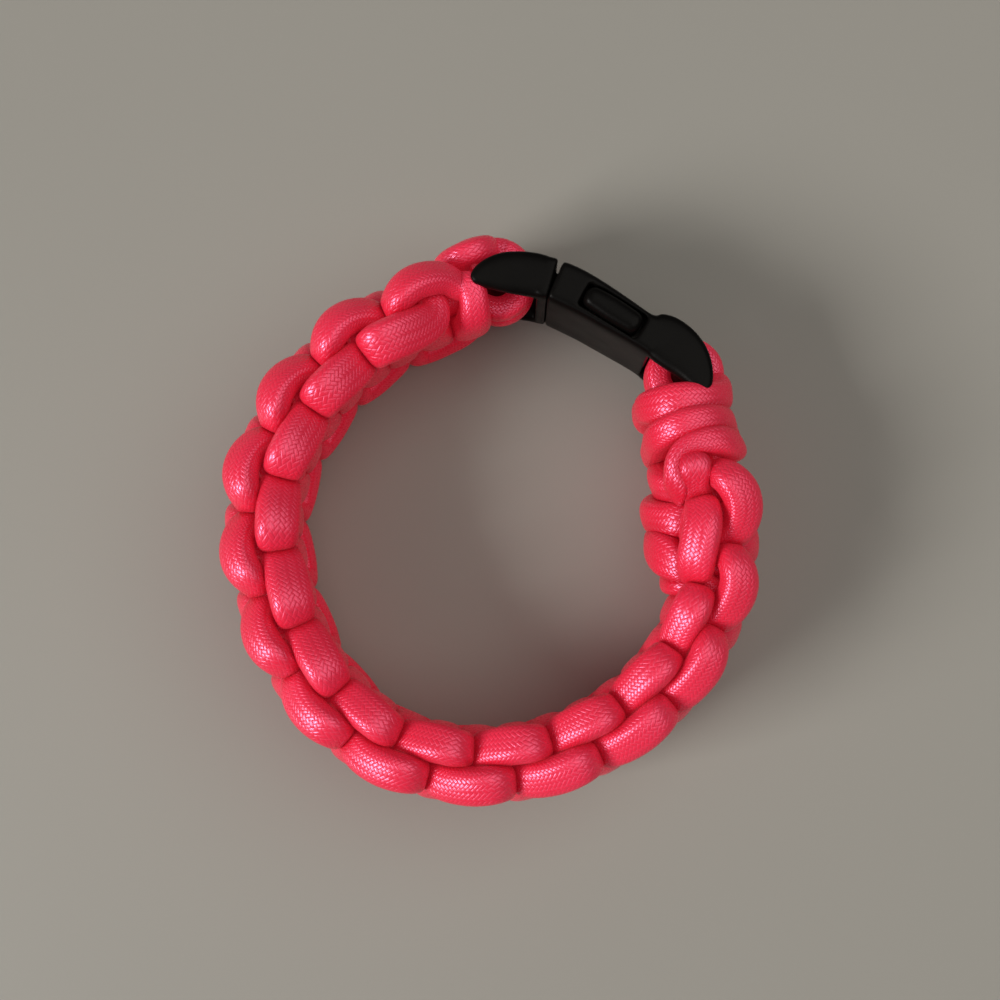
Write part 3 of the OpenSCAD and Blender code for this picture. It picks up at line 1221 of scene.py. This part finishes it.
@dataclass
class Bar:
    """A moulded bar: a rounded oblong section carried along a spine in the buckle's side view.

    The spine's columns are along the chord, outwards, and half the thickness there. mid is
    the bar's place across the band, corner is how square the section is, and over nose each
    end rounds off, down to a half size of least. rise keeps places on the spine distinct.
    """

    spine: Array
    half_wide: float
    mid: float = 0.0
    corner: float = 5.0
    nose: float = 0.35
    nose_rows: int = 9
    least: float = 0.01
    rise: float = 1e-6

    def grid(self, rows: int = 56, around: int = 56) -> Array:
        """Points of the bar in the buckle's own axes: along, outwards, across.

        The section is a superellipse, |x|^e + |y|^e = 1 with e = corner, scaled to the
        half thickness and half width, and the ends shrink as a quarter circle over nose.

        Args:
            rows: points along the spine.
            around: points round the section.

        Returns:
            rows by around by 3, in millimetres.
        """
        at = distances(self.spine[:, :2])
        full = at[-1]
        ease = self.nose * ((1 - np.cos(np.linspace(0, math.pi, self.nose_rows))) / 2)
        straight = np.linspace(self.nose, full - self.nose, rows)
        w = np.concatenate([ease[:-1], straight, full - ease[::-1][1:]])
        s = hermite(at, self.spine, w)
        heading = unit(np.gradient(s[:, :2], w + np.arange(len(w)) * self.rise, axis=0))
        out = np.column_stack([-heading[:, 1], heading[:, 0]])
        end = np.minimum(np.minimum(w, full - w) / self.nose, 1)
        lost = self.nose * (1 - np.sqrt(np.clip(1 - (1 - end) ** 2, 0, 1)))
        c, d = superellipse(around, 2 / self.corner)
        thick = np.maximum(s[:, 2] - lost, self.least)[:, None]
        wide = np.maximum(self.half_wide - lost, self.least)[:, None]
        flat = s[:, None, :2] + out[:, None] * (c * thick)[..., None]
        return np.concatenate([flat, (self.mid + d * wide)[..., None]], 2)


@dataclass
class SideReleaseBuckle:
    """The curved buckle: a prong half and a hollow half, each with a slotted end and a bar.

    Its own axes are along the chord between the bars, outwards, and across the band. end_at
    and parting are the places along the chord where the slotted ends and the hollow body
    begin, window is where its side windows start and stop, and names that end in half_t
    are half thicknesses.
    """

    sizes: Sizes
    finish: PlasticFinish = field(default_factory=PlasticFinish)
    wide: float = 15.5
    rail: float = 2.2
    wall: float = 0.9
    end_at: float = 7.375
    parting: float = -6.075
    part_gap: float = 0.3
    prong_gap: float = 0.2
    prong_wide: float = 2.4
    prong_half_t: float = 1.0
    prong_root: float = 0.6
    prong_short: float = 0.4
    window: tuple[float, float] = (-2.2, 5.4)
    button_out: float = 0.8
    button_half_t: float = 1.2
    button_crown: float = 0.2
    body_half_t: float = 2.35
    voxel: float = 0.16
    soft_factor: float = 0.5
    soft_passes: int = 14

    # Columns: along the chord from its middle, outwards, and half the thickness.
    STEM_RAIL = np.array([
        [-6.35, 2.05, 2.4], [-8.0, 1.75, 2.5], [-9.8, 1.15, 2.45], [-11.4, 0.45, 2.25],
        [-12.7, -0.4, 1.8], [-13.7, -1.35, 1.15], [-14.2, -2.0, 0.5],
    ])
    SOCKET_RAIL = np.array([
        [6.4, 1.75, 2.3], [7.9, 1.75, 2.7], [9.8, 1.45, 2.75], [11.4, 0.95, 2.5],
        [12.8, 0.15, 2.05], [14.0, -0.9, 1.4], [14.7, -2.1, 0.6],
    ])
    BODY = np.array([
        [-7.375, 1.85, 2.45], [-6.0, 2.15, 2.5], [-3.5, 2.25, 2.55], [-1.0, 2.15, 2.45],
        [1.6, 1.9, 2.35], [3.6, 1.7, 2.25], [5.4, 1.5, 2.15], [7.375, 1.55, 2.45],
    ])

    def spine(self, start: float, end: float, half: float | None = None) -> Array:
        """The body's spine between two places along the chord.

        Args:
            start: where it starts.
            end: where it ends.
            half: half thickness, or None to keep the body's.

        Returns:
            Nine rows of along, outwards and half thickness.
        """
        x = np.linspace(start, end, 9)
        rows = hermite(self.BODY[:, 0], self.BODY, x)
        if half is not None:
            rows[:, 2] = half
        return rows

    def solid(self, name: str, bars: list[Bar]) -> bpy.types.Object:
        """Joins bars into one object, stood on the chord.

        Args:
            name: the object's name.
            bars: closed bars, which may overlap.

        Returns:
            The object.
        """
        made = [grid_mesh(f"{name}_{n}", self.stood(bar.grid())) for n, bar in enumerate(bars)]
        with bpy.context.temp_override(active_object=made[0], selected_editable_objects=made):
            bpy.ops.object.join()
        made[0].name = name
        return made[0]

    def stood(self, grid: Array) -> Array:
        """Points in the buckle's own axes turned into the band's.

        Args:
            grid: points, the last axis along the chord, outwards and across.

        Returns:
            The points, in millimetres from the loop's middle.
        """
        s = self.sizes
        x, y = s.chord_dir, np.array([-s.chord_dir[1], s.chord_dir[0]])
        flat = s.chord_mid + grid[..., :1] * x + grid[..., 1:2] * y
        return np.concatenate([flat, grid[..., 2:] + s.band_z], -1)

    def cross_bar(self, at: float) -> Bar:
        """The round bar that the cord turns round."""
        r, half = self.sizes.bar_r, self.wide / 2 - self.rail / 2
        return Bar(np.array([[at - r, 0, r], [at, 0, r], [at + r, 0, r]]), half, corner=2.0, nose=r)

    def fused(self, piece: bpy.types.Object, cutters: list[bpy.types.Object]) -> None:
        """Cuts the hollows, fuses the bars into one moulding and rounds its edges.

        Args:
            piece: the object to finish; its modifiers are applied.
            cutters: closed solids to take away, which are deleted.
        """
        fuse = piece.modifiers.new("fuse", "REMESH")
        fuse.mode, fuse.voxel_size = "VOXEL", self.voxel * MM
        for n, cutter in enumerate(cutters):
            cut = piece.modifiers.new(f"cut_{n}", "BOOLEAN")
            cut.operation, cut.solver, cut.object = "DIFFERENCE", "EXACT", cutter
        if cutters:
            again = piece.modifiers.new("again", "REMESH")
            again.mode, again.voxel_size = "VOXEL", self.voxel * MM
        soft = piece.modifiers.new("soft", "SMOOTH")
        soft.factor, soft.iterations = self.soft_factor, self.soft_passes
        depsgraph = bpy.context.evaluated_depsgraph_get()
        mesh = bpy.data.meshes.new_from_object(piece.evaluated_get(depsgraph))
        piece.modifiers.clear()
        old, piece.data = piece.data, mesh
        bpy.data.meshes.remove(old)
        for cutter in cutters:
            bpy.data.objects.remove(cutter)
        mesh.name = piece.name
        mesh.shade_smooth()

    def pair(self, spine: Array, half_wide: float, mid: float, corner: float, nose: float) -> list[Bar]:
        """Two bars alike, one as far below the buckle's middle as the other is above it."""
        return [Bar(spine, half_wide, side * mid, corner, nose) for side in (-1, 1)]

    def rails(self, spine: Array) -> list[Bar]:
        """Both side rails of a slotted end."""
        return self.pair(spine, self.rail / 2, self.wide / 2 - self.rail / 2, corner=3.4, nose=0.3)

    def prong_half(self) -> bpy.types.Object:
        """Slotted end, shoulder, guide and two prongs with side buttons.

        Returns:
            The piece.
        """
        half, thin = self.wide / 2, self.prong_half_t
        root, (low, high) = self.parting - self.prong_root, self.window
        shoulder = Bar(self.spine(-self.end_at, self.parting), half, corner=12, nose=0.2)
        guide = Bar(self.spine(root, low, thin), self.prong_wide, corner=6)
        prong = self.spine(root, high - self.prong_short, thin)
        prong_mid = half - self.wall - self.prong_gap - self.prong_wide / 2
        button = self.button_spine(low + self.prong_gap, high - self.prong_gap)
        button_mid = half + self.button_out - self.prong_wide / 2
        bars = (
            self.rails(self.STEM_RAIL)
            + [shoulder, self.cross_bar(-self.sizes.bar_span / 2), guide]
            + self.pair(prong, self.prong_wide / 2, prong_mid, corner=6, nose=0.3)
            + self.pair(button, self.prong_wide / 2, button_mid, corner=2.6, nose=0.9)
        )
        piece = self.solid("buckle_prong_half", bars)
        self.fused(piece, [])
        return piece

    def button_spine(self, low: float, high: float) -> Array:
        """Spine of a side button, a little thicker in its middle.

        Args:
            low: where it starts along the chord.
            high: where it ends.

        Returns:
            Nine rows of along, outwards and half thickness.
        """
        rows = self.spine(low, high)
        rows[:, 2] = self.button_half_t + self.button_crown * np.sin(np.linspace(0, math.pi, len(rows)))
        return rows

    def hollow_half(self) -> bpy.types.Object:
        """Slotted end and hollow body with a window at each side.

        Returns:
            The piece.
        """
        half, hollow = self.wide / 2, self.body_half_t - self.wall
        body = Bar(self.spine(self.parting + self.part_gap, self.end_at), half, corner=9, nose=0.25)
        bars = self.rails(self.SOCKET_RAIL) + [body, self.cross_bar(self.sizes.bar_span / 2)]
        piece = self.solid("buckle_hollow_half", bars)
        inside = self.spine(self.parting - self.part_gap, self.window[1] + self.prong_gap, hollow)
        cavity = Bar(inside, half - self.wall, corner=20, nose=0.1)
        window = Bar(self.spine(*self.window, hollow), self.wide, corner=20, nose=0.3)
        self.fused(piece, [self.solid(f"cutter_{n}", [bar]) for n, bar in enumerate((cavity, window))])
        return piece

    def build(self) -> dict[str, bpy.types.Object]:
        """Makes and dresses both halves.

        Returns:
            The pieces, by the CAD node that each stands for.
        """
        material = self.finish.material()
        pieces = {"buckle_stem": self.prong_half(), "buckle_socket": self.hollow_half()}
        for piece in pieces.values():
            piece.data.materials.clear()
            piece.data.materials.append(material)
            LOG.info("%s: %d faces", piece.name, len(piece.data.polygons))
        return pieces


# Studio


@dataclass(frozen=True)
class Lamp:
    """A square soft light that faces the bracelet, in metres and watts."""

    name: str
    place: Point
    size: float
    power: float
    tint: tuple[float, float, float]

    def hang(self) -> None:
        """Adds the light, turned to the loop's middle."""
        data = bpy.data.lights.new(self.name, "AREA")
        data.size, data.energy, data.color = self.size, self.power, self.tint
        lamp = bpy.data.objects.new(self.name, data)
        lamp.location = self.place
        x, y, z = self.place
        lamp.rotation_euler = (math.atan2(math.hypot(x, y), z), 0, math.atan2(y, x) + math.pi / 2)
        bpy.context.scene.collection.objects.link(lamp)


@dataclass
class Studio:
    """Plain pale floor, soft daylight from the left, and the camera over the bracelet.

    The eye is in millimetres, the tilt, turn and roll in degrees, and the focal length in
    pixels of a square picture.
    """

    picture_px: int = 1000
    sensor_mm: float = 36.0
    focal_px: float = 1506.6
    eye: Point = (2.66, -11.82, 185.25)
    tilt: float = 3.03
    turn: float = 0.55
    roll: float = 0.03
    shift: float = 0.05
    nearest_m: float = 0.005
    floor_half_m: float = 0.9
    surroundings: Colour = (0.92, 0.94, 1.0, 1)
    surroundings_strength: float = 0.15
    window: Lamp = Lamp("window", (-0.95, -0.41, 0.73), 0.47, 18.0, (1.0, 0.98, 0.95))
    ceiling: Lamp = Lamp("ceiling", (0.36, 0.08, 0.86), 1.0, 5.0, (1.0, 0.96, 0.88))

    def camera(self) -> None:
        """Sets a camera that looks almost straight down."""
        data = bpy.data.cameras.new("overhead")
        data.sensor_fit, data.sensor_width = "HORIZONTAL", self.sensor_mm
        data.lens = self.sensor_mm * self.focal_px / self.picture_px
        data.clip_start = self.nearest_m
        data.shift_y = self.shift
        camera = bpy.data.objects.new("overhead", data)
        camera.location = tuple(c * MM for c in self.eye)
        camera.rotation_euler = tuple(math.radians(a) for a in (self.tilt, self.turn, self.roll))
        bpy.context.scene.collection.objects.link(camera)
        bpy.context.scene.camera = camera

    def floor(self) -> None:
        """Lays the floor at the height of the band's lower edge."""
        mesh = bpy.data.meshes.new("floor")
        h = self.floor_half_m
        mesh.from_pydata([(-h, -h, 0), (h, -h, 0), (h, h, 0), (-h, h, 0)], [], [(0, 1, 2, 3)])
        mesh.materials.append(FloorFinish().material())
        floor = bpy.data.objects.new("floor", mesh)
        bpy.context.scene.collection.objects.link(floor)

    def light(self) -> None:
        """Window light from the left and low, a weak fill, and pale surroundings."""
        self.window.hang()
        self.ceiling.hang()
        world = bpy.data.worlds.new("surroundings")
        world.use_nodes = True
        back = world.node_tree.nodes["Background"]
        back.inputs[0].default_value = self.surroundings
        back.inputs[1].default_value = self.surroundings_strength
        bpy.context.scene.world = world
        bpy.context.scene.view_settings.view_transform = "Standard"


def main() -> None:
    """Loads the solids, dresses them piece by piece and sets the studio."""
    logging.basicConfig(level=logging.INFO, format="%(message)s")
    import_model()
    sizes = Sizes()
    for slot, maker in ((Slot.CORD, KnottedBand(sizes)), (Slot.BUCKLE, SideReleaseBuckle(sizes))):
        for node, piece in maker.build().items():
            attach(piece, "root")
            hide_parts(node)
    studio = Studio()
    studio.camera()
    studio.floor()
    studio.light()
    bpy.context.view_layer.update()
    LOG.info("studio set")


if __name__ == "__main__":
    main()
